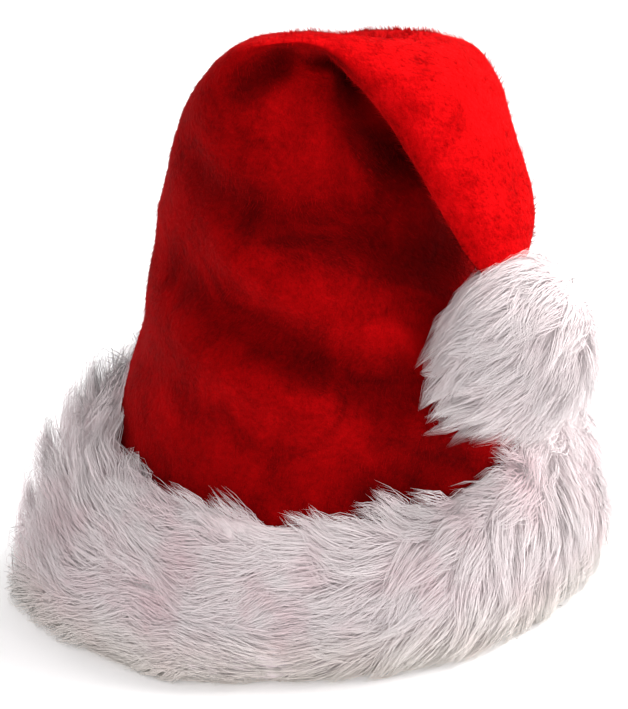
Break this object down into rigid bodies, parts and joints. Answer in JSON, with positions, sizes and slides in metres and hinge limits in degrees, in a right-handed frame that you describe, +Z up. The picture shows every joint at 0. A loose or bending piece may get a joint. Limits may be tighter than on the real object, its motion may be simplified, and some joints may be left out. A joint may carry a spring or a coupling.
{
  "type": "santa hat",
  "caption": "Plush Santa hat: a red cone whose top folds over to one side, with a deep white fur cuff round the rim and a fur pompom on the tip.",
  "frame": {"origin": "on the floor, under the middle of the hat's bounding box", "axes": "+Z up from the floor that the cuff rests on; -Y is the side that the picture shows; the tail falls towards +X and -Y"},
  "size_m": [0.278, 0.2608, 0.2742],
  "materials": {
    "red_plush": "short-pile red plush, deep red in the folds",
    "cuff_fur": "long white faux fur, faintly pink between the locks and cream at the floor",
    "pompom_fur": "long white faux fur"
  },
  "bodies": {
    "root": {"crown": "red_plush", "cuff": "cuff_fur", "pompom": "pompom_fur"}
  },
  "joints": []
}
